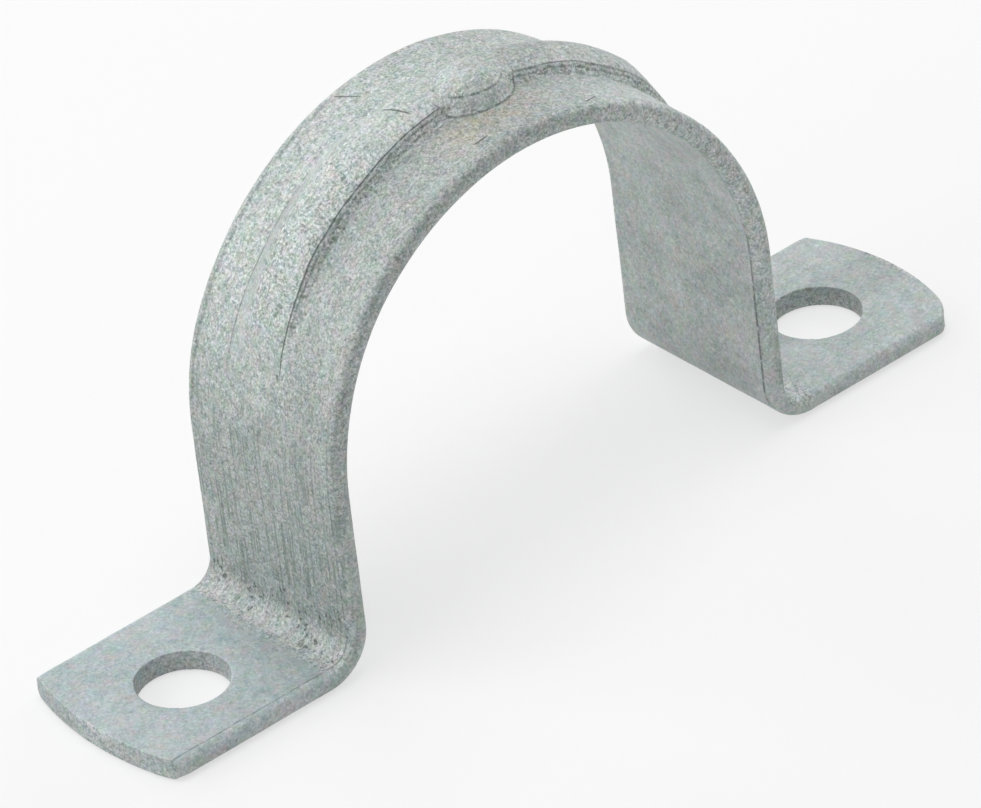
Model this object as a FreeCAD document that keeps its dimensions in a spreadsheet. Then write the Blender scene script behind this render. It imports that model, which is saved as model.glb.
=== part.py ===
"""Two-hole conduit strap, pressed from one length of mill-edge strip.

X runs along the strap from foot to foot, Y across the strip and +Z up, away from the
mounting surface. The origin lies on the mounting surface, midway between the feet.
"""
import FreeCAD, Part
import math
import os
from types import SimpleNamespace

import Sketcher
from FreeCAD import Vector

SHEET = "Sizes"

# Driving sizes, in millimetres and degrees.
SIZES = {
    # strip stock
    "strip_width": 25.4,
    "strip_gauge": 2.66,
    "mill_edge_radius": 0.95,
    # saddle that holds the conduit, eased a little at the haunches to let it in
    "saddle_radius": 30.1,
    "saddle_height": 23.2,
    "haunch_radius": 30.18,
    "haunch_angle": 69.5,
    # feet
    "overall_length": 121.2,
    "foot_bend_radius": 2.8,
    "foot_turn_radius": 6.2,
    "foot_end_radius": 28.2,
    "worn_corner_radius": 2.2,
    # fixing holes
    "hole_spacing": 95.5,
    "hole_diameter": 10.9,
    "hole_side_shift": 0.7,
    "hole_rim_break": 0.35,
    # pressed stiffening rib, and the groove that it leaves inside the saddle
    "rib_width": 9.6,
    "rib_rise": 2.3,
    "rib_flank_rise": 1.2,
    "rib_flank_run": 0.8,
    "rib_side_shift": 1.2,
    "rib_level_angle": 42.0,
    "runout_radius": 20.0,
    "runout_angle": 47.0,
    "groove_width": 7.0,
    "groove_floor_width": 3.6,
    "groove_depth": 2.1,
    # round boss on the crown of the rib, and the dimple under it
    "boss_diameter": 11.0,
    "boss_rise": 3.2,
    "boss_flank_rise": 1.4,
    "boss_flank_run": 1.0,
    "boss_lengthwise_shift": 1.2,
    "boss_side_shift": 0.8,
    "dimple_diameter": 8.0,
    "dimple_depth": 3.0,
}


def make_sheet(document):
    """Put every driving size in the spreadsheet, with its name as the alias."""
    sheet = document.addObject("Spreadsheet::Sheet", SHEET)
    for row, (name, size) in enumerate(SIZES.items(), start=1):
        sheet.set(f"A{row}", name)
        sheet.set(f"B{row}", str(size))
        sheet.setAlias(f"B{row}", name)
    document.recompute()
    return SimpleNamespace(**{name: float(getattr(sheet, name)) for name in SIZES})


# Sketch helpers. Sketches start from true coordinates, and their dimensions hold them.


def origin_feature(body, role):
    """Return one of the body's own origin planes or axes."""
    return next(item for item in body.Origin.OriginFeatures if item.Role == role)


def new_sketch(body, name, role):
    """Add an empty sketch on one of the body's origin planes."""
    sketch = body.newObject("Sketcher::SketchObject", name)
    sketch.AttachmentSupport = [(origin_feature(body, role), "")]
    sketch.MapMode = "FlatFace"
    return sketch


def add_line(sketch, start, end, construction=False):
    """Draw a straight segment."""
    segment = Part.LineSegment(Vector(*start, 0), Vector(*end, 0))
    return sketch.addGeometry(segment, construction)


def add_circle(sketch, centre, radius):
    """Draw a full circle."""
    return sketch.addGeometry(Part.Circle(Vector(*centre, 0), Vector(0, 0, 1), radius), False)


def add_arc(sketch, centre, radius, first, last):
    """Draw an arc, counter-clockwise from the first angle to the last, in degrees."""
    circle = Part.Circle(Vector(*centre, 0), Vector(0, 0, 1), radius)
    arc = Part.ArcOfCircle(circle, math.radians(first), math.radians(last))
    return sketch.addGeometry(arc, False)


def constrain(sketch, kind, *rule):
    """Add one geometric constraint."""
    sketch.addConstraint(Sketcher.Constraint(kind, *rule))


def dimension(sketch, expression, kind, *rule):
    """Add one dimension and tie it to the spreadsheet."""
    index = sketch.addConstraint(Sketcher.Constraint(kind, *rule))
    sketch.setExpression(f"Constraints[{index}]", expression)


def sized(names):
    """Turn size names in an expression into cells of the spreadsheet."""
    return " ".join(f"{SHEET}.{word}" if word in SIZES else word for word in names.split())


# Feature helpers.


def pad_across(body, sketch, name):
    """Pad a side view across the strip, evenly to both sides of the middle plane."""
    pad = body.newObject("PartDesign::Pad", name)
    pad.Profile = sketch
    pad.SideType = "Symmetric"
    pad.setExpression("Length", sized("strip_width"))
    return pad


def cut_through(body, sketch, name):
    """Cut a sketch through everything, to both sides of its plane."""
    pocket = body.newObject("PartDesign::Pocket", name)
    pocket.Profile = sketch
    pocket.SideType = "Symmetric"
    pocket.Type = "ThroughAll"
    return pocket


def sweep(body, kind, section, spine, name):
    """Carry a section along a spine, to add or to remove it."""
    pipe = body.newObject(f"PartDesign::{kind}", name)
    pipe.Profile = section
    pipe.Spine = spine
    return pipe


def turn(body, kind, section, name):
    """Turn a section about its sketch's vertical axis, to add or to remove it."""
    feature = body.newObject(f"PartDesign::{kind}", name)
    feature.Profile = section
    feature.ReferenceAxis = (section, ["V_Axis"])
    return feature


def mirror_ends(body, feature, name):
    """Repeat a feature on the other side of the crown."""
    mirror = body.newObject("PartDesign::Mirrored", name)
    mirror.Originals = [feature]
    mirror.MirrorPlane = (origin_feature(body, "YZ_Plane"), [""])
    body.Tip = mirror
    return mirror


def confirm(body, grows, volume):
    """Recompute, and stop unless the last feature changed the volume the right way."""
    body.Document.recompute()
    change = body.Shape.Volume - volume
    if (change > 0) != grows or abs(change) < 1e-3:
        raise RuntimeError(f"{body.Tip.Name} changed the volume by {change:.4f}")
    return body.Shape.Volume


# The strip, bent over the conduit.


def haunch_centre(size):
    """Return the centre of the right haunch arc, which meets the crown arc smoothly."""
    join = math.radians(90 - size.haunch_angle)
    ease = size.haunch_radius - size.saddle_radius
    return -ease * math.cos(join), size.saddle_height - ease * math.sin(join)


def draw_arch(sketch, size, offset):
    """Draw the crown arc and both haunch arcs, at a distance from the saddle's wall."""
    shift, level = haunch_centre(size)
    join = 90 - size.haunch_angle
    crown = add_arc(sketch, (0, size.saddle_height), size.saddle_radius + offset,
                    join, 180 - join)
    right = add_arc(sketch, (shift, level), size.haunch_radius + offset, 0, join)
    left = add_arc(sketch, (-shift, level), size.haunch_radius + offset, 180 - join, 180)
    constrain(sketch, "Tangent", right, 2, crown, 1)
    constrain(sketch, "Tangent", crown, 2, left, 1)
    constrain(sketch, "Equal", right, left)
    constrain(sketch, "PointOnObject", crown, 3, -2)
    constrain(sketch, "Horizontal", crown, 1, crown, 2)
    dimension(sketch, sized("saddle_height"), "DistanceY", -1, 1, crown, 3, size.saddle_height)
    dimension(sketch, sized("2 * haunch_angle"), "Angle", crown,
              math.radians(2 * size.haunch_angle))
    return right, crown, left


def strip_outline(body, size):
    """Draw the outer side view, with the saddle still full, from foot to crown."""
    gauge = size.strip_gauge
    half = size.overall_length / 2
    shift, level = haunch_centre(size)
    outside = shift + size.haunch_radius + gauge
    bend = size.foot_bend_radius
    knee = outside + bend
    hip = gauge + bend
    sketch = new_sketch(body, "strip_outline", "XZ_Plane")
    underside = add_line(sketch, (-half, 0), (half, 0))
    right_end = add_line(sketch, (half, 0), (half, gauge))
    right_foot = add_line(sketch, (half, gauge), (knee, gauge))
    right_bend = add_arc(sketch, (knee, hip), bend, 180, 270)
    right_leg = add_line(sketch, (outside, hip), (outside, level))
    right_haunch, crown, left_haunch = draw_arch(sketch, size, gauge)
    left_leg = add_line(sketch, (-outside, level), (-outside, hip))
    left_bend = add_arc(sketch, (-knee, hip), bend, 270, 360)
    left_foot = add_line(sketch, (-knee, gauge), (-half, gauge))
    left_end = add_line(sketch, (-half, gauge), (-half, 0))
    constrain(sketch, "Coincident", underside, 2, right_end, 1)
    constrain(sketch, "Coincident", right_end, 2, right_foot, 1)
    constrain(sketch, "Coincident", left_foot, 2, left_end, 1)
    constrain(sketch, "Coincident", left_end, 2, underside, 1)
    constrain(sketch, "Tangent", right_foot, 2, right_bend, 2)
    constrain(sketch, "Tangent", right_bend, 1, right_leg, 1)
    constrain(sketch, "Tangent", right_leg, 2, right_haunch, 1)
    constrain(sketch, "Tangent", left_haunch, 2, left_leg, 1)
    constrain(sketch, "Tangent", left_leg, 2, left_bend, 2)
    constrain(sketch, "Tangent", left_bend, 1, left_foot, 1)
    constrain(sketch, "Horizontal", underside)
    constrain(sketch, "Horizontal", right_foot)
    constrain(sketch, "Vertical", right_end)
    constrain(sketch, "Vertical", right_leg)
    constrain(sketch, "Vertical", left_leg)
    constrain(sketch, "Symmetric", underside, 1, underside, 2, -1, 1)
    constrain(sketch, "Symmetric", right_foot, 2, left_foot, 1, -2)
    constrain(sketch, "Symmetric", right_foot, 1, left_foot, 2, -2)
    dimension(sketch, sized("overall_length"), "DistanceX", underside, 1, underside, 2, 2 * half)
    dimension(sketch, sized("strip_gauge"), "DistanceY", right_end, 1, right_end, 2, gauge)
    dimension(sketch, sized("foot_bend_radius"), "Radius", right_bend, bend)
    dimension(sketch, sized("saddle_radius + strip_gauge"), "Radius", crown,
              size.saddle_radius + gauge)
    dimension(sketch, sized("haunch_radius + strip_gauge"), "Radius", right_haunch,
              size.haunch_radius + gauge)
    return sketch


def saddle_outline(body, size):
    """Draw the inner side view: the channel that the conduit sits in, down to the wall."""
    shift, level = haunch_centre(size)
    inside = shift + size.haunch_radius
    turned = size.foot_turn_radius
    mouth = inside + turned
    sketch = new_sketch(body, "saddle_outline", "XZ_Plane")
    opening = add_line(sketch, (-mouth, 0), (mouth, 0))
    right_turn = add_arc(sketch, (mouth, turned), turned, 180, 270)
    right_wall = add_line(sketch, (inside, turned), (inside, level))
    right_haunch, crown, left_haunch = draw_arch(sketch, size, 0)
    left_wall = add_line(sketch, (-inside, level), (-inside, turned))
    left_turn = add_arc(sketch, (-mouth, turned), turned, 270, 360)
    constrain(sketch, "Tangent", opening, 2, right_turn, 2)
    constrain(sketch, "Tangent", right_turn, 1, right_wall, 1)
    constrain(sketch, "Tangent", right_wall, 2, right_haunch, 1)
    constrain(sketch, "Tangent", left_haunch, 2, left_wall, 1)
    constrain(sketch, "Tangent", left_wall, 2, left_turn, 2)
    constrain(sketch, "Tangent", left_turn, 1, opening, 1)
    constrain(sketch, "Vertical", right_wall)
    constrain(sketch, "Vertical", left_wall)
    constrain(sketch, "Symmetric", opening, 1, opening, 2, -1, 1)
    constrain(sketch, "Equal", right_turn, left_turn)
    dimension(sketch, sized("foot_turn_radius"), "Radius", right_turn, turned)
    dimension(sketch, sized("saddle_radius"), "Radius", crown, size.saddle_radius)
    dimension(sketch, sized("haunch_radius"), "Radius", right_haunch, size.haunch_radius)
    return sketch


# The pressed rib, its groove, and the boss on the crown.


def rib_spine(body, size):
    """Draw half of the rib's path: level over the crown, then diving into the strip."""
    outside = size.saddle_radius + size.strip_gauge
    crown = size.saddle_height
    runout = size.runout_radius
    level = math.radians(90 - size.rib_level_angle)
    shift = outside - runout
    centre = (shift * math.cos(level), crown + shift * math.sin(level))
    sketch = new_sketch(body, "rib_spine", "XZ_Plane")
    over = add_arc(sketch, (0, crown), outside, 90 - size.rib_level_angle, 90)
    dive = add_arc(sketch, centre, runout, 90 - size.rib_level_angle - size.runout_angle,
                   90 - size.rib_level_angle)
    constrain(sketch, "Tangent", over, 1, dive, 2)
    constrain(sketch, "PointOnObject", over, 3, -2)
    constrain(sketch, "PointOnObject", over, 2, -2)
    dimension(sketch, sized("saddle_height"), "DistanceY", -1, 1, over, 3, crown)
    dimension(sketch, sized("saddle_radius + strip_gauge"), "Radius", over, outside)
    dimension(sketch, sized("runout_radius"), "Radius", dive, runout)
    dimension(sketch, sized("rib_level_angle"), "Angle", over, math.radians(size.rib_level_angle))
    dimension(sketch, sized("runout_angle"), "Angle", dive, math.radians(size.runout_angle))
    return sketch


def rib_section(body, size):
    """Draw the rib across the strip: two steep flanks under one low crest arc."""
    top = size.saddle_height + size.saddle_radius + size.strip_gauge
    middle = size.rib_side_shift
    foot = size.rib_width / 2
    shoulder = foot - size.rib_flank_run
    shoulder_level = top + size.rib_flank_rise
    crest_rise = size.rib_rise - size.rib_flank_rise
    crest = (shoulder ** 2 + crest_rise ** 2) / (2 * crest_rise)
    spread = math.degrees(math.asin(shoulder / crest))
    sketch = new_sketch(body, "rib_section", "YZ_Plane")
    back = add_line(sketch, (middle + shoulder, shoulder_level), (middle + foot, top))
    base = add_line(sketch, (middle + foot, top), (middle - foot, top))
    front = add_line(sketch, (middle - foot, top), (middle - shoulder, shoulder_level))
    over = add_arc(sketch, (middle, top + size.rib_rise - crest), crest, 90 - spread, 90 + spread)
    axis = add_line(sketch, (middle, top), (middle, top + size.rib_rise), True)
    constrain(sketch, "Coincident", back, 2, base, 1)
    constrain(sketch, "Coincident", base, 2, front, 1)
    constrain(sketch, "Coincident", front, 2, over, 2)
    constrain(sketch, "Coincident", over, 1, back, 1)
    constrain(sketch, "Symmetric", base, 1, base, 2, axis, 1)
    constrain(sketch, "Symmetric", back, 1, front, 2, axis)
    constrain(sketch, "Horizontal", base)
    constrain(sketch, "Vertical", axis)
    constrain(sketch, "PointOnObject", axis, 2, over)
    dimension(sketch, sized("saddle_height + saddle_radius + strip_gauge"), "DistanceY",
              -1, 1, axis, 1, top)
    dimension(sketch, sized("rib_side_shift"), "DistanceX", -1, 1, axis, 1, middle)
    dimension(sketch, sized("rib_rise"), "DistanceY", axis, 1, axis, 2, size.rib_rise)
    dimension(sketch, sized("rib_width"), "DistanceX", front, 1, back, 2, size.rib_width)
    dimension(sketch, sized("rib_flank_run"), "DistanceX", back, 1, back, 2, size.rib_flank_run)
    dimension(sketch, sized("rib_flank_rise"), "DistanceY", back, 2, back, 1, size.rib_flank_rise)
    return sketch


def groove_section(body, size):
    """Draw the groove across the strip: a flat floor between two sloping sides."""
    mouth_level = size.saddle_height + size.saddle_radius
    floor_level = mouth_level + size.groove_depth
    middle = size.rib_side_shift
    mouth = size.groove_width / 2
    floor = size.groove_floor_width / 2
    sketch = new_sketch(body, "groove_section", "YZ_Plane")
    open_side = add_line(sketch, (middle - mouth, mouth_level), (middle + mouth, mouth_level))
    back = add_line(sketch, (middle + mouth, mouth_level), (middle + floor, floor_level))
    bottom = add_line(sketch, (middle + floor, floor_level), (middle - floor, floor_level))
    front = add_line(sketch, (middle - floor, floor_level), (middle - mouth, mouth_level))
    axis = add_line(sketch, (middle, mouth_level), (middle, floor_level), True)
    constrain(sketch, "Coincident", open_side, 2, back, 1)
    constrain(sketch, "Coincident", back, 2, bottom, 1)
    constrain(sketch, "Coincident", bottom, 2, front, 1)
    constrain(sketch, "Coincident", front, 2, open_side, 1)
    constrain(sketch, "Horizontal", open_side)
    constrain(sketch, "Horizontal", bottom)
    constrain(sketch, "Vertical", axis)
    constrain(sketch, "Symmetric", open_side, 1, open_side, 2, axis, 1)
    constrain(sketch, "Symmetric", bottom, 1, bottom, 2, axis, 2)
    dimension(sketch, sized("saddle_height + saddle_radius"), "DistanceY",
              -1, 1, axis, 1, mouth_level)
    dimension(sketch, sized("rib_side_shift"), "DistanceX", -1, 1, axis, 1, middle)
    dimension(sketch, sized("groove_width"), "DistanceX",
              open_side, 1, open_side, 2, size.groove_width)
    dimension(sketch, sized("groove_floor_width"), "DistanceX",
              bottom, 2, bottom, 1, size.groove_floor_width)
    dimension(sketch, sized("groove_depth"), "DistanceY", axis, 1, axis, 2, size.groove_depth)
    return sketch


def centre_on_boss(sketch):
    """Move a sketch of the side view to the upright axis of the boss."""
    sketch.setExpression("AttachmentOffset.Base.x", sized("boss_lengthwise_shift"))
    sketch.setExpression("AttachmentOffset.Base.z", sized("boss_side_shift"))


def boss_section(body, size):
    """Draw half of the boss: a buried root, a steep flank and a domed top."""
    top = size.saddle_height + size.saddle_radius + size.strip_gauge
    root = top - size.strip_gauge / 2
    foot = size.boss_diameter / 2
    shoulder = foot - size.boss_flank_run
    shoulder_level = top + size.boss_flank_rise
    dome_rise = size.boss_rise - size.boss_flank_rise
    dome = (shoulder ** 2 + dome_rise ** 2) / (2 * dome_rise)
    spread = math.degrees(math.asin(shoulder / dome))
    sketch = new_sketch(body, "boss_section", "XZ_Plane")
    centre_on_boss(sketch)
    base = add_line(sketch, (0, root), (foot, root))
    side = add_line(sketch, (foot, root), (foot, top))
    flank = add_line(sketch, (foot, top), (shoulder, shoulder_level))
    over = add_arc(sketch, (0, top + size.boss_rise - dome), dome, 90 - spread, 90)
    axis = add_line(sketch, (0, top + size.boss_rise), (0, root))
    constrain(sketch, "Coincident", base, 2, side, 1)
    constrain(sketch, "Coincident", side, 2, flank, 1)
    constrain(sketch, "Coincident", flank, 2, over, 1)
    constrain(sketch, "Coincident", over, 2, axis, 1)
    constrain(sketch, "Coincident", axis, 2, base, 1)
    constrain(sketch, "Horizontal", base)
    constrain(sketch, "Vertical", side)
    constrain(sketch, "PointOnObject", axis, 1, -2)
    constrain(sketch, "PointOnObject", axis, 2, -2)
    constrain(sketch, "PointOnObject", over, 3, -2)
    dimension(sketch, sized("saddle_height + saddle_radius + strip_gauge"), "DistanceY",
              -1, 1, side, 2, top)
    dimension(sketch, sized("strip_gauge / 2"), "DistanceY", side, 1, side, 2, top - root)
    dimension(sketch, sized("boss_diameter / 2"), "DistanceX", base, 1, base, 2, foot)
    dimension(sketch, sized("boss_flank_run"), "DistanceX", flank, 2, flank, 1,
              size.boss_flank_run)
    dimension(sketch, sized("boss_flank_rise"), "DistanceY", flank, 1, flank, 2,
              size.boss_flank_rise)
    dimension(sketch, sized("boss_rise - boss_flank_rise"), "DistanceY", over, 1, over, 2,
              dome_rise)
    return sketch


def dimple_section(body, size):
    """Draw half of the dimple that the punch leaves under the boss."""
    floor = size.saddle_height + size.saddle_radius
    below = floor - size.strip_gauge / 2
    half = size.dimple_diameter / 2
    depth = size.dimple_depth
    radius = (half ** 2 + depth ** 2) / (2 * depth)
    rise = math.degrees(math.asin((radius - depth) / radius))
    sketch = new_sketch(body, "dimple_section", "XZ_Plane")
    centre_on_boss(sketch)
    base = add_line(sketch, (0, below), (half, below))
    side = add_line(sketch, (half, below), (half, floor))
    over = add_arc(sketch, (0, floor + depth - radius), radius, rise, 90)
    axis = add_line(sketch, (0, floor + depth), (0, below))
    constrain(sketch, "Coincident", base, 2, side, 1)
    constrain(sketch, "Coincident", side, 2, over, 1)
    constrain(sketch, "Coincident", over, 2, axis, 1)
    constrain(sketch, "Coincident", axis, 2, base, 1)
    constrain(sketch, "Horizontal", base)
    constrain(sketch, "Vertical", side)
    constrain(sketch, "PointOnObject", axis, 1, -2)
    constrain(sketch, "PointOnObject", axis, 2, -2)
    constrain(sketch, "PointOnObject", over, 3, -2)
    dimension(sketch, sized("saddle_height + saddle_radius"), "DistanceY", -1, 1, side, 2, floor)
    dimension(sketch, sized("strip_gauge / 2"), "DistanceY", side, 1, side, 2, floor - below)
    dimension(sketch, sized("dimple_diameter / 2"), "DistanceX", base, 1, base, 2, half)
    dimension(sketch, sized("dimple_depth"), "DistanceY", over, 1, over, 2, depth)
    return sketch


# The plan: the round sheared ends and the punched holes.


def end_waste(body, size):
    """Draw what the shear takes off one foot, outside its round end."""
    edge = size.strip_width / 2
    half = size.overall_length / 2
    radius = size.foot_end_radius
    spread = math.degrees(math.asin(edge / radius))
    corner = half - radius * (1 - math.cos(math.radians(spread)))
    far = half + size.strip_gauge
    sketch = new_sketch(body, "end_waste", "XY_Plane")
    shear = add_arc(sketch, (half - radius, 0), radius, -spread, spread)
    back = add_line(sketch, (corner, edge), (far, edge))
    beyond = add_line(sketch, (far, edge), (far, -edge))
    front = add_line(sketch, (far, -edge), (corner, -edge))
    constrain(sketch, "Coincident", shear, 2, back, 1)
    constrain(sketch, "Coincident", back, 2, beyond, 1)
    constrain(sketch, "Coincident", beyond, 2, front, 1)
    constrain(sketch, "Coincident", front, 2, shear, 1)
    constrain(sketch, "PointOnObject", shear, 3, -1)
    constrain(sketch, "Symmetric", beyond, 1, beyond, 2, -1)
    constrain(sketch, "Horizontal", back)
    constrain(sketch, "Horizontal", front)
    dimension(sketch, sized("foot_end_radius"), "Radius", shear, radius)
    dimension(sketch, sized("overall_length / 2 - foot_end_radius"), "DistanceX",
              -1, 1, shear, 3, half - radius)
    dimension(sketch, sized("overall_length / 2 + strip_gauge"), "DistanceX",
              -1, 1, beyond, 1, far)
    dimension(sketch, sized("strip_width"), "DistanceY", beyond, 2, beyond, 1, size.strip_width)
    return sketch


def hole_outline(body, size):
    """Draw the two punched holes."""
    reach = size.hole_spacing / 2
    radius = size.hole_diameter / 2
    sketch = new_sketch(body, "hole_outline", "XY_Plane")
    right = add_circle(sketch, (reach, -size.hole_side_shift), radius)
    left = add_circle(sketch, (-reach, -size.hole_side_shift), radius)
    constrain(sketch, "Symmetric", right, 3, left, 3, -2)
    constrain(sketch, "Equal", right, left)
    dimension(sketch, sized("hole_spacing"), "DistanceX", left, 3, right, 3, size.hole_spacing)
    dimension(sketch, sized("hole_side_shift"), "DistanceY", right, 3, -1, 1,
              size.hole_side_shift)
    dimension(sketch, sized("hole_diameter / 2"), "Radius", right, radius)
    return sketch


# Rounded edges.


def ease_edges(body, kind, measure, wanted, size_name, name):
    """Round or break the edges of the body that the test picks."""
    base = body.Tip
    edges = [f"Edge{number}" for number, edge in enumerate(base.Shape.Edges, start=1)
             if wanted(edge)]
    eased = body.newObject(f"PartDesign::{kind}", name)
    eased.Base = (base, edges)
    eased.setExpression(measure, sized(size_name))
    return eased


def middle_of(edge):
    """Return the point halfway along an edge's own parameter."""
    return edge.valueAt((edge.FirstParameter + edge.LastParameter) / 2)


def worn_corner(size):
    """Return a test for the upright edge at the front corner of the right foot."""
    def wanted(edge):
        middle = middle_of(edge)
        on_foot = middle.x > size.hole_spacing / 2 and middle.z < size.strip_gauge
        on_side = middle.y < -0.999 * size.strip_width / 2
        return on_foot and on_side and edge.BoundBox.XLength < 1e-3
    return wanted


def mill_edges(size):
    """Return a test for the long edges of the strip, from one sheared end to the other."""
    def wanted(edge):
        middle = middle_of(edge)
        side = 0.999 * size.strip_width / 2
        sheared = size.overall_length / 2 - size.foot_end_radius + math.sqrt(
            size.foot_end_radius ** 2 - (size.strip_width / 2) ** 2)
        upright = edge.BoundBox.XLength + edge.BoundBox.YLength < 1e-3
        leg = abs(abs(middle.x) - size.saddle_radius) < 1.01 * size.strip_gauge
        return (abs(middle.y) > side and abs(middle.x) < sheared - 1e-3
                and (leg or not upright))
    return wanted


def hole_rims(size):
    """Return a test for the upper rims of the fixing holes."""
    def wanted(edge):
        middle = middle_of(edge)
        out = math.hypot(abs(middle.x) - size.hole_spacing / 2, middle.y + size.hole_side_shift)
        on_top = abs(middle.z - size.strip_gauge) < 1e-3
        return on_top and abs(out - size.hole_diameter / 2) < 1e-3
    return wanted


def build_strap(document, size):
    """Model the strap in the order that its forms depend on each other."""
    body = document.addObject("PartDesign::Body", "strap")
    body.Label = "strap"
    pad_across(body, strip_outline(body, size), "strip_block")
    volume = confirm(body, True, 0)
    spine = rib_spine(body, size)
    rib = sweep(body, "AdditivePipe", rib_section(body, size), spine, "rib")
    volume = confirm(body, True, volume)
    mirror_ends(body, rib, "rib_both_ways")
    volume = confirm(body, True, volume)
    turn(body, "Revolution", boss_section(body, size), "boss")
    volume = confirm(body, True, volume)
    cut_through(body, saddle_outline(body, size), "saddle")
    volume = confirm(body, False, volume)
    groove = sweep(body, "SubtractivePipe", groove_section(body, size), spine, "groove")
    volume = confirm(body, False, volume)
    mirror_ends(body, groove, "groove_both_ways")
    volume = confirm(body, False, volume)
    turn(body, "Groove", dimple_section(body, size), "dimple")
    volume = confirm(body, False, volume)
    end = cut_through(body, end_waste(body, size), "sheared_end")
    volume = confirm(body, False, volume)
    mirror_ends(body, end, "sheared_ends")
    volume = confirm(body, False, volume)
    ease_edges(body, "Fillet", "Radius", worn_corner(size), "worn_corner_radius", "worn_corner")
    volume = confirm(body, False, volume)
    ease_edges(body, "Fillet", "Radius", mill_edges(size), "mill_edge_radius", "mill_edges")
    volume = confirm(body, False, volume)
    cut_through(body, hole_outline(body, size), "holes")
    volume = confirm(body, False, volume)
    ease_edges(body, "Chamfer", "Size", hole_rims(size), "hole_rim_break", "hole_rims")
    confirm(body, False, volume)
    return body


def check_document(document):
    """Stop if any object failed to build."""
    for item in document.Objects:
        if {"Invalid", "Error"} & set(item.State):
            raise RuntimeError(f"{item.Name} is {item.State}")


def export_body(body):
    """Write one sub-part, after a last look at its shape."""
    shape = body.Shape
    if shape.isNull() or not shape.isValid() or len(shape.Solids) != 1:
        raise RuntimeError(f"{body.Label} is not one valid solid")
    shape.exportStep(os.path.join("parts", f"{body.Label}.step"))


def main():
    """Build the document and write its one sub-part."""
    document = FreeCAD.newDocument("conduit_strap")
    size = make_sheet(document)
    strap = build_strap(document, size)
    document.recompute()
    check_document(document)
    os.makedirs("parts", exist_ok=True)
    export_body(strap)


main()
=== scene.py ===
"""Detailed conduit strap: a blank of strip, punched, rounded, pressed and bent over."""
import math

import bmesh
import bpy
from mathutils import Matrix, Vector, noise


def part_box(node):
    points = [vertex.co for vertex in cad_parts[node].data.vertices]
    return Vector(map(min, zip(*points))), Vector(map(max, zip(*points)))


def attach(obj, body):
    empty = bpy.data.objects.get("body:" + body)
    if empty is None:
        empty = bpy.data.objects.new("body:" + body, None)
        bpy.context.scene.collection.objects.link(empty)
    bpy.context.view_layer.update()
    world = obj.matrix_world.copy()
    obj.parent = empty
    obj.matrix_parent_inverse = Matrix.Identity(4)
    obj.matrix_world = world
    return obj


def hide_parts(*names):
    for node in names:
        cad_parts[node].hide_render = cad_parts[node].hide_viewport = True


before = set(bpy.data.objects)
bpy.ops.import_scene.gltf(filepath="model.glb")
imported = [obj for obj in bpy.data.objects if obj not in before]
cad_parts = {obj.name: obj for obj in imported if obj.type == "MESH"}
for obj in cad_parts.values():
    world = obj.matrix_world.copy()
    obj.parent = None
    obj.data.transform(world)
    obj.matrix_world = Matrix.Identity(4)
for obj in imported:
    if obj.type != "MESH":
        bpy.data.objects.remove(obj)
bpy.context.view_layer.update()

bl_info = {
    "name": "Conduit strap",
    "version": (1, 0, 0),
    "blender": (4, 5, 0),
    "location": "View3D > Sidebar > Conduit strap",
    "description": "Builds a pressed, galvanised conduit strap and its studio",
    "category": "Add Mesh",
}

CAD_LOW, CAD_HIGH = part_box("strap")
MM = 0.001

# Sizes of the strap's own forms, in millimetres, in the frame of the solid: half of the
# solid's box, where the flat feet start, and the height of the saddle's middle.
HALF_LENGTH = CAD_HIGH.x / MM
HALF_WIDTH = CAD_HIGH.y / MM
FLAT_START = 37.5
SADDLE_LEVEL = 23.2

# Holes: place across, half of the square that the blank leaves open for each, how many
# times that far the lines around a hole are eased, and the bevel of the lower rim.
HOLE_SHIFT = -0.7
HOLE_GAP = 4.7
HOLE_EASE = 1.9
LOWER_RIM = 0.12

# Foot ends, for the left (-1) and the right (1) foot: where the round reaches furthest, how
# much flatter it is, how much shorter the foot is, and the length that is reshaped. Corners
# are given by foot and by side across.
END_APEX = {-1: -0.3, 1: -0.4}
END_FLATTER = {-1: 1.5, 1: 1.0}
END_SHORTER = {-1: 0.4, 1: 0.0}
END_RUN = 5.2
CORNER_RADII = {(-1, -1): 1.3, (-1, 1): 0.35, (1, -1): 3.2, (1, 1): 0.5}
CORNER_REACH = 3.2

# Rib: places across of its foot, shoulder, crest and back, angles from the crown at which the
# back is widest and the rib starts and ends to sink, and the height at both shoulders.
RIB_FOOT, RIB_SHOULDER, RIB_CREST = -3.5, -2.8, 1.0
RIB_BACK_RIGHT, RIB_BACK_NARROW, RIB_BACK_WIDE = 4.5, 4.6, 6.0
RIB_WIDE_ANGLE, RIB_SINK_ANGLE, RIB_END_ANGLE = 32, 46, 69.5
FLANK_SHARE, BACK_SHARE = 0.56, 0.76

# Groove under the rib, and the boss with its flank and the dimple under it.
GROOVE_MIDDLE, GROOVE_HALF, GROOVE_FLOOR = 1.2, 3.6, 0.35
GROOVE_SINK_ANGLE, GROOVE_END_ANGLE = 42, 66
BOSS_PLACE = Vector((1.2, -0.8))
BOSS_FLANK, BOSS_FLANK_RISE = 1.4, 1.6
DIMPLE_RADIUS, DIMPLE_DEPTH = 4.1, 3.0

# Unevenness of the dipped surface: how often it waves in a millimetre, and the grain's height.
BROAD_WAVE, FINE_WAVE, GRAIN_WAVE = 0.22, 0.9, 2.6
GRAIN_HEIGHT = 0.03

# Scratches on the upper side: middle, slope in the plan, and length along the strip.
SCRATCHES = (((-7.05, 9.9), -1.76, 1.7), ((-7.1, 0.35), -2.5, 1.4), ((-3.95, -9.9), 0.0, 1.7),
             ((10.7, -10.95), 0.46, 2.4), ((-38.0, -2.4), 0.0, 0.7))

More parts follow.
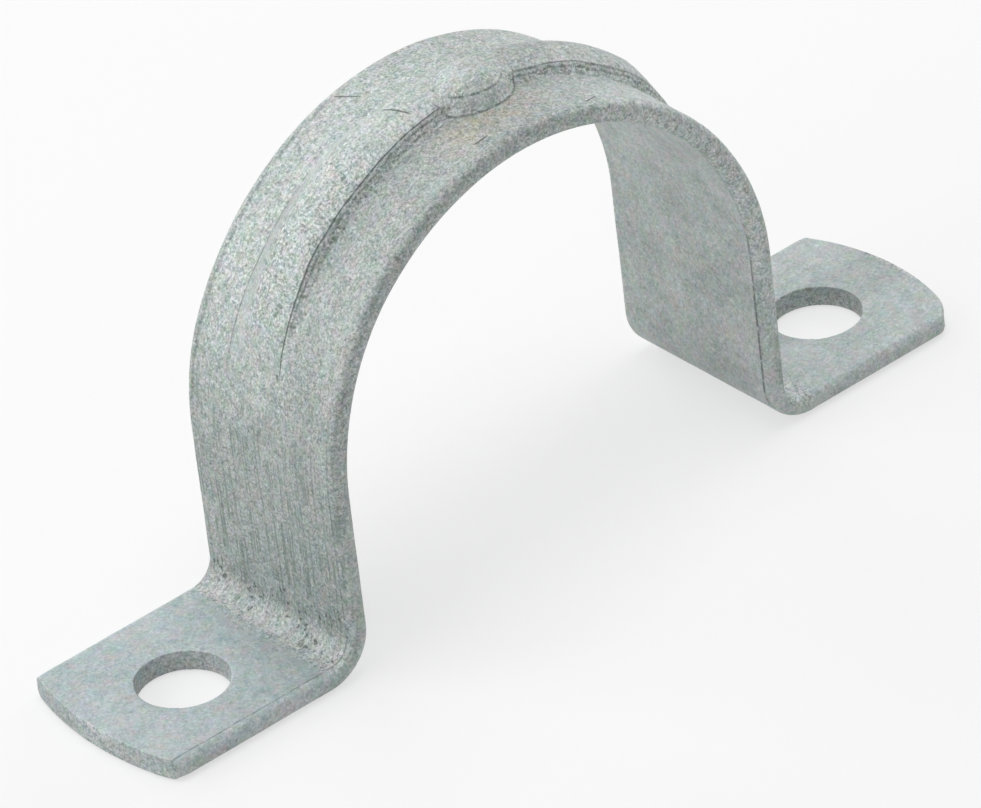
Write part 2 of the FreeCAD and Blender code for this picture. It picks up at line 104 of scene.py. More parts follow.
# Lamps, all soft squares that face the strap: name, place in metres, and power in watts.
LAMPS = (("lamp_top", (0, 0, 0.8), 1.85), ("lamp_left", (-0.75, 0, 0.3), 1.35),
         ("lamp_far_left", (-0.5, 0.5, 0.45), 1.3), ("lamp_far", (0.1, 0.75, 0.4), 1.4),
         ("lamp_right", (0.75, 0.1, 0.35), 1.5))
LAMP_SIZE = 0.5
LAMP_TARGET = Vector((0, 0, 0.025))
SKY_LIGHT = 0.36
FLOOR_REACH, FLOOR_DROP, FLOOR_GLOW = 1.5, 0.0002, 0.6

# Camera: swing, lift and roll in degrees, its place from the origin in metres, and its lens.
CAMERA_TURNS = (-37.285, 33.638, -6.949)
CAMERA_BACK, CAMERA_ASIDE, CAMERA_RISE = 1.21473, -0.00148, 0.01187
LENS_LENGTH, SENSOR_WIDTH = 393.87, 36


# Settings.


class StrapSizes(bpy.types.PropertyGroup):
    """Sizes of the strip and of what is pressed and punched into it."""

    gauge: bpy.props.FloatProperty(
        name="Gauge", description="Thickness of the strip", default=2.66 * MM, unit="LENGTH")
    saddle_radius: bpy.props.FloatProperty(
        name="Saddle radius", description="Radius of the wall that holds the conduit",
        default=30.1 * MM, unit="LENGTH")
    bend_radius: bpy.props.FloatProperty(
        name="Bend radius", description="Hollow side of the bend above each foot",
        default=2.8 * MM, unit="LENGTH")
    turn_radius: bpy.props.FloatProperty(
        name="Turn radius", description="Round side of the bend under each leg",
        default=6.2 * MM, unit="LENGTH")
    mill_edge: bpy.props.FloatProperty(
        name="Mill edge", description="Rounding of the strip's long edges",
        default=0.95 * MM, unit="LENGTH")
    sheared_edge: bpy.props.FloatProperty(
        name="Sheared edge", description="Rounding that the zinc leaves on the sheared ends",
        default=0.22 * MM, unit="LENGTH")
    end_radius: bpy.props.FloatProperty(
        name="End radius", description="Radius of the round foot ends",
        default=28.2 * MM, unit="LENGTH")
    draw_in: bpy.props.FloatProperty(
        name="Draw-in", description="How far each side draws in over the crown",
        default=0.5 * MM, unit="LENGTH")
    hole_spacing: bpy.props.FloatProperty(
        name="Hole spacing", description="Distance between the fixing holes",
        default=95.5 * MM, unit="LENGTH")
    hole_radius: bpy.props.FloatProperty(
        name="Hole radius", description="Radius of the fixing holes",
        default=5.45 * MM, unit="LENGTH")
    hole_rim: bpy.props.FloatProperty(
        name="Hole rim", description="Rolled upper rim of the fixing holes",
        default=0.4 * MM, unit="LENGTH")
    rib_rise: bpy.props.FloatProperty(
        name="Rib rise", description="Height of the rib above the strip",
        default=2.3 * MM, unit="LENGTH")
    groove_depth: bpy.props.FloatProperty(
        name="Groove depth", description="Depth of the groove under the rib",
        default=2.1 * MM, unit="LENGTH")
    boss_rise: bpy.props.FloatProperty(
        name="Boss rise", description="Height of the boss above the strip",
        default=3.2 * MM, unit="LENGTH")
    boss_radius: bpy.props.FloatProperty(
        name="Boss radius", description="Radius of the foot of the boss",
        default=5.3 * MM, unit="LENGTH")
    waviness: bpy.props.FloatProperty(
        name="Waviness", description="Unevenness of the dipped surface",
        default=0.05 * MM, unit="LENGTH")


class ZincFinish(bpy.types.PropertyGroup):
    """Colours of the hot-dipped zinc."""

    body: bpy.props.FloatVectorProperty(
        name="Body", description="Main colour of the zinc", subtype="COLOR",
        size=4, min=0, max=1, default=(0.403, 0.455, 0.443, 1))
    pale: bpy.props.FloatVectorProperty(
        name="Pale", description="Bright crystals of the zinc", subtype="COLOR",
        size=4, min=0, max=1, default=(0.74, 0.76, 0.76, 1))
    shade: bpy.props.FloatVectorProperty(
        name="Shade", description="Dull zinc in hollows", subtype="COLOR",
        size=4, min=0, max=1, default=(0.18, 0.245, 0.21, 1))
    # The pit colour also paints the crease shade along the rib and around the boss.
    pit: bpy.props.FloatVectorProperty(
        name="Pit", description="Pits, scores and dross specks", subtype="COLOR",
        size=4, min=0, max=1, default=(0.055, 0.075, 0.07, 1))
    smooth: bpy.props.FloatVectorProperty(
        name="Smooth", description="Smooth bluish zinc of the feet", subtype="COLOR",
        size=4, min=0, max=1, default=(0.375, 0.45, 0.47, 1))
    # The rubbed colour also paints a highlight along the lower part of each foot's bend.
    rubbed: bpy.props.FloatVectorProperty(
        name="Rubbed", description="Pinkish zinc, rubbed by the bending tool", subtype="COLOR",
        size=4, min=0, max=1, default=(0.66, 0.645, 0.65, 1))
    warm: bpy.props.FloatVectorProperty(
        name="Warm", description="Faint yellowish stain", subtype="COLOR",
        size=4, min=0, max=1, default=(0.52, 0.45, 0.32, 1))
    rose: bpy.props.FloatVectorProperty(
        name="Rose", description="Faint pinkish patches", subtype="COLOR",
        size=4, min=0, max=1, default=(0.50, 0.455, 0.46, 1))


def millimetres(settings, name):
    """Return one of the sizes in millimetres."""
    return getattr(settings, name) / MM


# The line of the strip. Along it runs from the crown, positive towards the right foot,
# across runs over the strip, and up goes from its underside to its upper side.


def smooth(edge0, edge1, value):
    """Ease from 0 at the first edge to 1 at the second."""
    t = max(0.0, min(1.0, (value - edge0) / (edge1 - edge0)))
    return t * t * (3 - 2 * t)


def mix(a, b, share):
    """Blend two numbers or vectors."""
    return a + (b - a) * share


class StripLine:
    """Side view of the bent strip, as stations with an inner and an outer point."""

    def __init__(self, sizes):
        self.gauge = millimetres(sizes, "gauge")
        self.inside = millimetres(sizes, "saddle_radius")
        self.outside = self.inside + self.gauge
        self.bend = millimetres(sizes, "bend_radius")
        self.turn = millimetres(sizes, "turn_radius")
        middle = self.inside + self.gauge / 2
        self.arch_end = middle * math.pi / 2
        leg = SADDLE_LEVEL - (self.turn + self.gauge + self.bend) / 2
        self.leg_end = self.arch_end + leg
        self.bend_end = self.leg_end + (self.bend + self.turn) / 2 * math.pi / 2
        start = (self.inside + self.turn + self.outside + self.bend) / 2
        self.flat = self.bend_end + FLAT_START - start
        self.end = self.flat + HALF_LENGTH - FLAT_START

    def angle(self, along):
        """Return the angle from the crown on the arch, in degrees."""
        return abs(along) / self.arch_end * 90

    def walls(self, along):
        """Return the inner and the outer point of a station on the right side."""
        if along <= self.arch_end:
            turned = along / self.arch_end * math.pi / 2
            out = Vector((math.sin(turned), math.cos(turned)))
            base = Vector((0, SADDLE_LEVEL))
            return base + out * self.inside, base + out * self.outside
        if along <= self.leg_end:
            share = (along - self.arch_end) / (self.leg_end - self.arch_end)
            return (Vector((self.inside, mix(SADDLE_LEVEL, self.turn, share))),
                    Vector((self.outside, mix(SADDLE_LEVEL, self.gauge + self.bend, share))))
        if along <= self.bend_end:
            share = (along - self.leg_end) / (self.bend_end - self.leg_end)
            turned = share * math.pi / 2
            back = Vector((-math.cos(turned), -math.sin(turned)))
            inner = Vector((self.inside + self.turn, self.turn))
            outer = Vector((self.outside + self.bend, self.gauge + self.bend))
            return inner + back * self.turn, outer + back * self.bend
        share = min(1.0, (along - self.bend_end) / (self.flat - self.bend_end))
        beyond = max(0.0, along - self.flat)
        return (Vector((mix(self.inside + self.turn, FLAT_START, share) + beyond, 0)),
                Vector((mix(self.outside + self.bend, FLAT_START, share) + beyond,
                        self.gauge)))

    def place(self, along, across, up):
        """Bend one point of the flat blank to its place on the strap."""
        side = -1 if along < 0 else 1
        inner, outer = self.walls(abs(along))
        point = mix(inner, outer, up / self.gauge)
        return Vector((side * point.x, across, point.y)) * MM


# Forms of the blank, in its own flat coordinates.


def spread(share, stops):
    """Place evenly numbered lines by a table of counts and places."""
    total = stops[-1][0]
    wanted = share * total
    for (count0, place0), (count1, place1) in zip(stops, stops[1:]):
        if wanted <= count1 + 1e-6:
            return mix(place0, place1, (wanted - count0) / (count1 - count0))
    return stops[-1][1]


def row_stops(line, sizes):
    """Count the rows of the blank from the crown to one foot end."""
    centre = hole_place(line, sizes)
    steps = ((26, 8.0), (92, line.arch_end), (28, line.leg_end), (26, line.flat),
             (9, centre - HOLE_GAP), (24, centre + HOLE_GAP), (8, line.end - 2.6),
             (9, line.end - 0.3), (1, line.end))
    stops, total = [(0, 0.0)], 0
    for count, place in steps:
        total += count
        stops.append((total, place))
    return stops


# Columns of the blank, counted from its front edge, and where they lie across.
COLUMN_STOPS = ((0, -12.7), (1, -11.6), (14, HOLE_SHIFT - HOLE_GAP), (24, -2.8),
                (51, HOLE_SHIFT + HOLE_GAP), (61, 6.6), (71, 11.6), (72, 12.7))


def square_to_round(x, y, radius):
    """Turn the square corner region into a quarter disc, from (0, 0) to the corner."""
    if x <= 0 or y <= 0:
        return x, y
    angle = math.atan2(y, x)
    turned = Vector((math.cos(angle), math.sin(angle))) * max(x, y)
    return mix(Vector((x, y)), turned, min(1.0, radius / CORNER_REACH))


def hole_place(line, sizes):
    """Return how far along the flat blank a hole lies."""
    return line.flat + millimetres(sizes, "hole_spacing") / 2 - FLAT_START


def open_hole(place, centre, radius):
    """Round the square gap of the blank into the hole, and ease the lines around it."""
    dx, dy = place[0] - centre[0], place[1] - centre[1]
    far = max(abs(dx), abs(dy)) / HOLE_GAP
    if far >= HOLE_EASE:
        return place
    angle = math.atan2(dy, dx)
    quarter = round(angle / (math.pi / 2)) * math.pi / 2
    lean = math.tan(angle - quarter) * math.pi / 4
    even = quarter + mix(angle - quarter, lean, 0.6)
    reach = far if far <= 1.0 else 0.3 + 0.7 * far
    ring = Vector((math.cos(even), math.sin(even))) * radius * reach
    x, y = mix(Vector((dx, dy)), ring, 1 - smooth(1.0, HOLE_EASE, far))
    return Vector((centre[0] + x, centre[1] + y))


def end_line(across, side, radius):
    """Return how far the sheared end reaches at one place across the foot."""
    radius *= END_FLATTER[side]
    middle = HALF_LENGTH - END_SHORTER[side] - radius
    return middle + math.sqrt(radius ** 2 - (across - END_APEX[side]) ** 2)


def blank_plan(line, sizes, along, across):
    """Shape the plan of the flat blank: holes, round ends and corners."""
    side = -1 if along < 0 else 1
    far = abs(along)
    if far < line.flat:
        return along, across
    centre = Vector((hole_place(line, sizes), HOLE_SHIFT))
    far, across = open_hole(Vector((far, across)), centre, millimetres(sizes, "hole_radius"))
    over = 1 if across > 0 else -1
    corner_start, corner_side = line.end - CORNER_REACH, HALF_WIDTH - CORNER_REACH
    x, y = far - corner_start, abs(across) - corner_side
    if x > 0 and y > 0:
        x, y = square_to_round(x, y, CORNER_RADII[side, over])
        far, across = corner_start + x, over * (corner_side + y)
    start = line.end - END_RUN
    if far > start:
        reach = line.flat + end_line(across, side, millimetres(sizes, "end_radius")) - FLAT_START
        far = start + (far - start) * (reach - start) / (line.end - start)
    return side * far, across


def rib_back(line, along):
    """Return where the gentle back of the rib ends. It widens on the left side."""
    if along >= 0:
        return RIB_BACK_RIGHT
    return mix(RIB_BACK_NARROW, RIB_BACK_WIDE, smooth(0, RIB_WIDE_ANGLE, line.angle(along)))


def rib_height(line, along, across, rise):
    """Return how far the rib stands above the strip."""
    sunk = (RIB_END_ANGLE - line.angle(along)) / (RIB_END_ANGLE - RIB_SINK_ANGLE)
    level = rise * max(0.0, min(1.0, sunk))
    back = rib_back(line, along)
    if level <= 0 or across <= RIB_FOOT or across >= back:
        return 0.0
    if across < RIB_SHOULDER:
        return level * FLANK_SHARE * (across - RIB_FOOT) / (RIB_SHOULDER - RIB_FOOT)
    if across < RIB_CREST:
        share = (RIB_CREST - across) / (RIB_CREST - RIB_SHOULDER)
        return level * (1 - (1 - FLANK_SHARE) * share ** 2)
    shoulder = mix(RIB_CREST, back, 0.46)
    if across < shoulder:
        share = (across - RIB_CREST) / (shoulder - RIB_CREST)
        return level * (1 - (1 - BACK_SHARE) * share ** 2)
    share = (across - shoulder) / (back - shoulder)
    return level * BACK_SHARE * mix(1 - share, 1 - smooth(0, 1, share), 0.6)


def boss_height(along, across, sizes):
    """Return how far the boss stands above the strip."""
    rise = millimetres(sizes, "boss_rise")
    foot = millimetres(sizes, "boss_radius")
    far = math.hypot(along - BOSS_PLACE.x, across - BOSS_PLACE.y)
    shoulder = foot - BOSS_FLANK
    if far >= foot:
        return 0.0
    if far <= shoulder:
        return rise - (rise - BOSS_FLANK_RISE) * (far / shoulder) ** 2.2
    share = (far - shoulder) / (foot - shoulder)
    return BOSS_FLANK_RISE * mix(1 - share, 1 - smooth(0, 1, share), 0.35)


def groove_height(line, along, across, depth):
    """Return how far the inner side is pressed up under the rib."""
    level = depth * (1 - smooth(GROOVE_SINK_ANGLE, GROOVE_END_ANGLE, line.angle(along)))
    far = abs(across - GROOVE_MIDDLE) / GROOVE_HALF
    return level * (1 - smooth(GROOVE_FLOOR, 1.0, far))


def dimple_height(along, across):
    """Return how far the inner side is pressed up under the boss."""
    far = math.hypot(along - BOSS_PLACE.x, across - BOSS_PLACE.y) / DIMPLE_RADIUS
    return 0.0 if far >= 1 else DIMPLE_DEPTH * (1 - far ** 2) ** 0.8


def rough_share(line, along, across):
    """Return how coarse the dipped surface is at one place of the upper side."""
    angle = line.angle(along)
    haunch = smooth(12, 35, angle) * (1 - smooth(75, 100, angle))
    rib = (1 - smooth(3.6, 5.2, abs(across - 0.6))) * (1 - smooth(60, 75, angle))
    return 0.45 + 0.25 * haunch + 0.3 * rib


def edge_share(line, along, across):
    """Return how near a place is to the outline of the strip."""
    side = HALF_WIDTH - abs(across)
    end = line.end - abs(along)
    return max(0.0, 1 - min(side, end) / 1.6)


# Meshes.


def new_piece(name, mesh):
    """Add a finished mesh to the scene as an object at the origin."""
    piece = bpy.data.objects.new(name, mesh)
    bpy.context.scene.collection.objects.link(piece)
    return piece


def cut_blank(line, sizes):
    """Make the flat blank as a grid with its holes left out, and space its rows and columns."""
    stops = row_stops(line, sizes)
    rows = 2 * stops[-1][0]
    columns = COLUMN_STOPS[-1][0]
    blank = bmesh.new()
    bmesh.ops.create_grid(blank, x_segments=rows, y_segments=columns, size=0.5)
    for vert in blank.verts:
        along = vert.co.x * 2
        side = -1 if along < 0 else 1
        vert.co.x = side * spread(abs(along), stops)
        vert.co.y = spread(vert.co.y + 0.5, COLUMN_STOPS)
    centre = hole_place(line, sizes)
    inside = []
    for face in blank.faces:
        middle = face.calc_center_median()
        if max(abs(abs(middle.x) - centre), abs(middle.y - HOLE_SHIFT)) < HOLE_GAP:
            inside.append(face)
    bmesh.ops.delete(blank, geom=inside, context="FACES")
    return blank


def thicken(blank, line):
    """Raise the blank to the strip's gauge."""
    raised = bmesh.ops.extrude_face_region(blank, geom=blank.faces[:])
    top = [item for item in raised["geom"] if isinstance(item, bmesh.types.BMVert)]
    bmesh.ops.translate(blank, verts=top, vec=(0, 0, line.gauge))
    bmesh.ops.recalc_face_normals(blank, faces=blank.faces[:])


def bevel(blank, edges, offset, segments):
    """Round the edges."""
    bmesh.ops.bevel(blank, geom=edges, offset=offset, offset_type="OFFSET",
                    segments=segments, profile=0.5, affect="EDGES", material=-1,
                    clamp_overlap=True)


def round_mill_edges(blank, sizes):
    """Round the long edges of the strip from end to end."""
    edges = []
    for edge in blank.edges:
        a, b = edge.verts
        on_side = min(abs(a.co.y), abs(b.co.y)) > HALF_WIDTH - 0.01
        if on_side and abs(a.co.z - b.co.z) < 1e-4 and edge.calc_face_angle(0) > 1:
            edges.append(edge)
    bevel(blank, edges, millimetres(sizes, "mill_edge"), 6)


def end_outline(blank):
    """Return the edges around the two end faces of the blank."""
    blank.normal_update()
    edges = []
    for edge in blank.edges:
        on_end = [abs(face.normal.x) > 0.99 for face in edge.link_faces]
        if any(on_end) and not all(on_end):
            edges.append(edge)
    return edges


def round_hole_rims(blank, line, sizes):
    """Roll the upper rims of the holes, and ease the lower ones a little."""
    centre = hole_place(line, sizes)
    radius = millimetres(sizes, "hole_radius")
    rims = {True: [], False: []}
    for edge in blank.edges:
        a, b = (vert.co for vert in edge.verts)
        near = all(math.hypot(abs(place.x) - centre, place.y - HOLE_SHIFT) < radius + 0.1
                   for place in (a, b))
        if near and abs(a.z - b.z) < 1e-4 and edge.calc_face_angle(0) > 1:
            rims[a.z > line.gauge / 2].append(edge)
    bevel(blank, rims[True], millimetres(sizes, "hole_rim"), 4)
    bevel(blank, rims[False], LOWER_RIM, 2)


def mark_blank(blank, line):
    """Keep the flat place of every point, and masks for its finish, on the mesh."""
    plan = blank.loops.layers.uv.new("strip_plan")
    outer = blank.verts.layers.float.new("outer")
    edge = blank.verts.layers.float.new("edge")
    for vert in blank.verts:
        along, across, up = vert.co
        vert[outer] = smooth(0.3, 0.7, up / line.gauge)
        vert[edge] = edge_share(line, along, across)
    for face in blank.faces:
        for loop in face.loops:
            loop[plan].uv = loop.vert.co.xy


def unevenness(line, sizes, place):
    """Return how far the dipped surface waves up or down at one place."""
    along, across, _ = place
    calm = smooth(0.0, 2.0, line.end - abs(along))
    broad = noise.noise(Vector((along, across, 9.0)) * BROAD_WAVE)
    fine = noise.noise(place * FINE_WAVE)
    grain = rough_share(line, along, across) * noise.noise(place * GRAIN_WAVE)
    swell = millimetres(sizes, "waviness") * (broad * 1.2 + fine * 0.4) * calm
    return swell + GRAIN_HEIGHT * grain


def draw_in(line, sizes, place):
    """Return how far the strip's side has drawn in at one place."""
    along, across, _ = place
    drawn = millimetres(sizes, "draw_in") * (1 - smooth(44, 84, line.angle(along)))
    edge = noise.noise(Vector((along * 0.12, math.copysign(3.0, across), 2.0)))
    return drawn + 0.04 + 0.05 * edge


def press(blank, line, sizes):
    """Press rib, boss, groove and dimple, and let the dipped surface run uneven."""
    rise = millimetres(sizes, "rib_rise")
    depth = millimetres(sizes, "groove_depth")
    for vert in blank.verts:
        place = vert.co.copy()
        along, across, up = place
        share = smooth(0.0, 1.0, up / line.gauge)
        over = max(rib_height(line, along, across, rise), boss_height(along, across, sizes))
        under = max(groove_height(line, along, across, depth), dimple_height(along, across))
        level = unevenness(line, sizes, place)
        vert.co.z = up + mix(under, over, share)
        if up > line.gauge * 0.75:
            vert.co.z += level - GRAIN_HEIGHT
        elif up < line.gauge * 0.25:
            vert.co.z += max(0.0, level) * 0.6
        vert.co.y = across * (1 - draw_in(line, sizes, place) / HALF_WIDTH)


def bend_blank(blank, line):
    """Bend the blank over the conduit, and keep it within the solid's box."""
    for vert in blank.verts:
        vert.co = line.place(*vert.co)
    for vert in blank.verts:
        vert.co = Vector(max(low, min(high, value))
                         for low, high, value in zip(CAD_LOW, CAD_HIGH, vert.co))


# Shader helpers.


class NodeDesk:
    """Adds and joins shader nodes with short calls."""

    def __init__(self, tree):
        self.tree = tree

    def add(self, kind, **settings):
        """Add a node and set its own settings."""
        node = self.tree.nodes.new(kind)
        for name, setting in settings.items():
            setattr(node, name, setting)
        return node

    def feed(self, node, **inputs):
        """Set or join a node's inputs, by their names with _ for a space."""
        for name, given in inputs.items():
            self.join(given, node.inputs[name.replace("_", " ")])
        return node

    def join(self, given, socket):
        """Set a socket's value, or link an output to it."""
        if isinstance(given, bpy.types.NodeSocket):
            self.tree.links.new(given, socket)
        else:
            socket.default_value = given

    def maths(self, operation, first, second=0.0, clamp=False):
        """Add a Math node."""
        node = self.add("ShaderNodeMath", operation=operation, use_clamp=clamp)
        self.join(first, node.inputs[0])
        self.join(second, node.inputs[1])
        return node.outputs[0]

    def blend(self, share, first, second, kind="MIX"):
        """Add a colour Mix node."""
        node = self.add("ShaderNodeMix", data_type="RGBA", blend_type=kind)
        self.join(share, node.inputs[0])
        self.join(first, node.inputs[6])
        self.join(second, node.inputs[7])
        return node.outputs[2]

    def scaled(self, given, share):
        """Multiply a value by a share."""
        return self.maths("MULTIPLY", given, share)

    def grey(self, given):
        """Turn a value into a grey colour."""
        node = self.add("ShaderNodeCombineColor")
        for socket in node.inputs:
            self.join(given, socket)
        return node.outputs[0]

    def window(self, given, low, high, start=0.0, end=1.0):
        """Map a range of values to another, and stop at its ends."""
        node = self.add("ShaderNodeMapRange", clamp=True)
        self.feed(node, Value=given, From_Min=low, From_Max=high, To_Min=start, To_Max=end)
        return node.outputs[0]

    def times(self, *masks):
        """Multiply masks."""
        product = masks[0]
        for mask in masks[1:]:
            product = self.maths("MULTIPLY", product, mask)
        return product

    def most(self, *masks):
        """Take the highest of some masks."""
        peak = masks[0]
        for mask in masks[1:]:
            peak = self.maths("MAXIMUM", peak, mask)
        return peak

    def near(self, given, place, core, fade):
        """Mask what lies near a place: full within the core, gone past the fade."""
        gap = self.maths("ABSOLUTE", self.maths("SUBTRACT", given, place))
        return self.window(gap, fade, core)

    def between(self, share, first, second):
        """Blend two values."""
        node = self.feed(self.add("ShaderNodeMix"), Factor=share, A=first, B=second)
        return node.outputs[0]

    def toned(self, mask, tone):
        """Turn a mask into a factor that is 1 where it is off."""
        return self.window(mask, 0.0, 1.0, 1.0, tone)

    def cloud(self, place, scale, detail=2.0, rough=0.5, warp=0.0):
        """Add a Noise texture and return its value."""
        node = self.add("ShaderNodeTexNoise")
        self.feed(node, Vector=place, Scale=scale, Detail=detail, Roughness=rough,
                  Distortion=warp)
        return node.outputs["Fac"]


def new_group(name, inputs, outputs):
    """Make a shader node group with named sockets, and return it with a desk."""
    group = bpy.data.node_groups.new(name, "ShaderNodeTree")
    for label, kind in inputs:
        group.interface.new_socket(name=label, in_out="INPUT", socket_type=kind)
    for label, kind in outputs:
        group.interface.new_socket(name=label, in_out="OUTPUT", socket_type=kind)
    desk = NodeDesk(group)
    return group, desk, desk.add("NodeGroupInput"), desk.add("NodeGroupOutput")


COLOUR, NUMBER, PLACE = "NodeSocketColor", "NodeSocketFloat", "NodeSocketVector"
ZONES = ("Rough", "Rub_and_highlight", "Pitted", "Drawn", "Lines", "Foot", "Warm", "Burr", "Tone")
PIT_JITTER = (0.0016, 0.0016, 0.0016)
BUMP_DEPTH = 0.00011


def zinc_mottle_group():
    """Colour of dull zinc, from broad clouds down to single crystals."""
    group, desk, given, out = new_group(
        "zinc_mottle",
        (("Place", PLACE), ("Body", COLOUR), ("Pale", COLOUR), ("Shade", COLOUR),
         ("Rose", COLOUR), ("Contrast", NUMBER)),
        (("Color", COLOUR), ("Grain", NUMBER)))
    place, contrast = given.outputs["Place"], given.outputs["Contrast"]
    pale, shade = given.outputs["Pale"], given.outputs["Shade"]
    broad = desk.window(desk.cloud(place, 160.0, 3.0, 0.6), 0.38, 0.68)
    patch = desk.window(desk.cloud(place, 560.0, 2.0, 0.6, 0.6), 0.42, 0.7)
    tint = desk.window(desk.cloud(place, 420.0, 2.0, 0.6), 0.46, 0.66)
    coarse = desk.cloud(place, 1500.0, 1.0, 0.5, 1.2)
    fine = desk.cloud(place, 3300.0, 1.0, 0.6, 0.8)
    colour = desk.blend(desk.scaled(broad, 0.2), given.outputs["Body"], pale)
    dull = desk.times(patch, desk.window(contrast, 0.0, 1.0, 0.2, 0.34))
    colour = desk.blend(dull, colour, shade)
    colour = desk.blend(desk.scaled(tint, 0.5), colour, given.outputs["Rose"])
    for grain, amount in ((coarse, 0.55), (fine, 0.95)):
        dark = desk.times(desk.window(grain, 0.5, 0.27), contrast)
        light = desk.times(desk.window(grain, 0.51, 0.74), contrast)
        colour = desk.blend(desk.scaled(dark, amount), colour, shade)
        colour = desk.blend(desk.scaled(light, amount), colour, pale)
    hues = desk.feed(desk.add("ShaderNodeTexNoise"), Vector=place, Scale=900.0, Detail=2.0)
    colour = desk.blend(0.07, colour, hues.outputs["Color"], "LINEAR_LIGHT")
    desk.join(colour, out.inputs["Color"])
    desk.join(desk.maths("ADD", coarse, desk.scaled(fine, 0.6)), out.inputs["Grain"])
    return group


def zinc_pits_group():
    """Scattered pits and dross specks with torn outlines."""
    group, desk, given, out = new_group(
        "zinc_pits",
        (("Place", PLACE), ("Scale", NUMBER), ("Amount", NUMBER)), (("Mask", NUMBER),))
    place = given.outputs["Place"]
    jitter = desk.feed(desk.add("ShaderNodeTexNoise"), Vector=place, Scale=1100.0, Detail=2.0)
    torn = desk.add("ShaderNodeVectorMath", operation="MULTIPLY_ADD")
    for source, socket in zip((jitter.outputs["Color"], PIT_JITTER, place), torn.inputs):
        desk.join(source, socket)
    cells = desk.add("ShaderNodeTexVoronoi", feature="F1")
    desk.feed(cells, Vector=torn.outputs[0], Scale=given.outputs["Scale"], Randomness=1.0)
    spot = desk.window(cells.outputs["Distance"], 0.40, 0.15)
    chosen = desk.window(cells.outputs["Color"], 0.60, 0.48)
    mask = desk.maths("MULTIPLY", desk.times(spot, chosen), given.outputs["Amount"], clamp=True)
    desk.join(mask, out.inputs["Mask"])
    return group


def draw_streaks_group():
    """Dark broken streaks that run the way the strip was drawn."""
    group, desk, given, out = new_group(
        "draw_streaks", (("Plan", PLACE), ("Amount", NUMBER)), (("Mask", NUMBER),))
    drawn = desk.add("ShaderNodeMapping")
    desk.feed(drawn, Vector=given.outputs["Plan"], Scale=(0.055, 2.3, 1.0))
    lines = desk.window(desk.cloud(drawn.outputs[0], 1.0, 2.0, 0.55, 0.1), 0.5, 0.58)
    breaks = desk.window(desk.cloud(given.outputs["Plan"], 0.3, 2.0, 0.6), 0.36, 0.56)
    desk.join(desk.times(lines, breaks, given.outputs["Amount"]), out.inputs["Mask"])
    return group


class PlanReading:
    """The flat plan of the strip as a shader reads it, in millimetres, and broken masks."""

    def __init__(self, desk, given, boss_foot):
        self.plan = given.outputs["Plan"]
        self.outer, self.edge = given.outputs["Outer"], given.outputs["Edge"]
        split = desk.feed(desk.add("ShaderNodeSeparateXYZ"), Vector=self.plan)
        self.along, self.across = split.outputs[0], split.outputs[1]
        self.far = desk.maths("ABSOLUTE", self.along)
        self.wobble = desk.cloud(self.plan, 0.5, 2.0, 0.6)
        self.broken = desk.window(desk.cloud(self.plan, 1.1, 2.0, 0.7), 0.36, 0.52)
        span = desk.add("ShaderNodeVectorMath", operation="DISTANCE")
        desk.join(self.plan, span.inputs[0])
        desk.join(BOSS_PLACE.to_3d(), span.inputs[1])
        self.from_boss = span.outputs["Value"]
        self.boss_foot = boss_foot
        self.clear = desk.window(self.from_boss, boss_foot - 0.2, boss_foot + 0.2)


def rough_zone(desk, at, line):
    """Mask how coarse the zinc is: most on the rib and at the bends, least on the feet."""
    rib = desk.times(desk.near(at.across, 0.2, 2.9, 3.9), desk.window(at.far, 40.0, 32.0),
                     desk.window(at.along, -16.0, -8.0, 1.0, 0.66))
    flank = desk.times(desk.near(at.across, -3.2, 0.3, 0.7), desk.window(at.far, 38.0, 32.0))
    above_foot = desk.window(at.far, line.flat, line.bend_end)
    crust = desk.times(desk.window(at.far, line.bend_end - 9.0, line.bend_end - 3.0),
                       above_foot, desk.window(at.edge, 0.7, 0.3))
    upper = desk.most(desk.scaled(above_foot, 0.74), desk.scaled(crust, 0.82), flank, rib)
    calm = desk.times(desk.near(at.across, 4.8, 0.7, 1.6), desk.window(at.along, -8.0, -14.0),
                      desk.window(at.along, -44.0, -34.0))
    upper = desk.maths("SUBTRACT", upper, desk.scaled(calm, 0.4))
    sides = desk.times(desk.window(at.edge, 0.15, 0.6),
                       desk.window(at.far, line.leg_end, 44.0, 0.34, 0.8))
    plain = desk.window(at.outer, 0.0, 1.0, 0.3, 0.22)
    return desk.most(desk.times(upper, at.outer), sides, plain)


def bend_zones(desk, at, line):
    """Mask the pale band above each foot, partly rubbed by the bending tool and partly a painted
    highlight along the bend, and the pits over it.
    """
    wavy = desk.maths("ADD", at.far, desk.window(at.wobble, 0.3, 0.7, -1.2, 1.2))
    band = desk.times(desk.window(wavy, line.bend_end - 2.4, line.bend_end - 1.5),
                      desk.window(at.far, line.bend_end + 0.2, line.bend_end),
                      desk.window(at.edge, 0.7, 0.3), at.outer)
    clusters = desk.window(desk.cloud(at.plan, 0.3, 1.0, 0.5), 0.42, 0.54)
    pitted = desk.times(desk.near(wavy, line.bend_end - 5.0, 2.0, 6.0), clusters, at.outer)
    return band, pitted


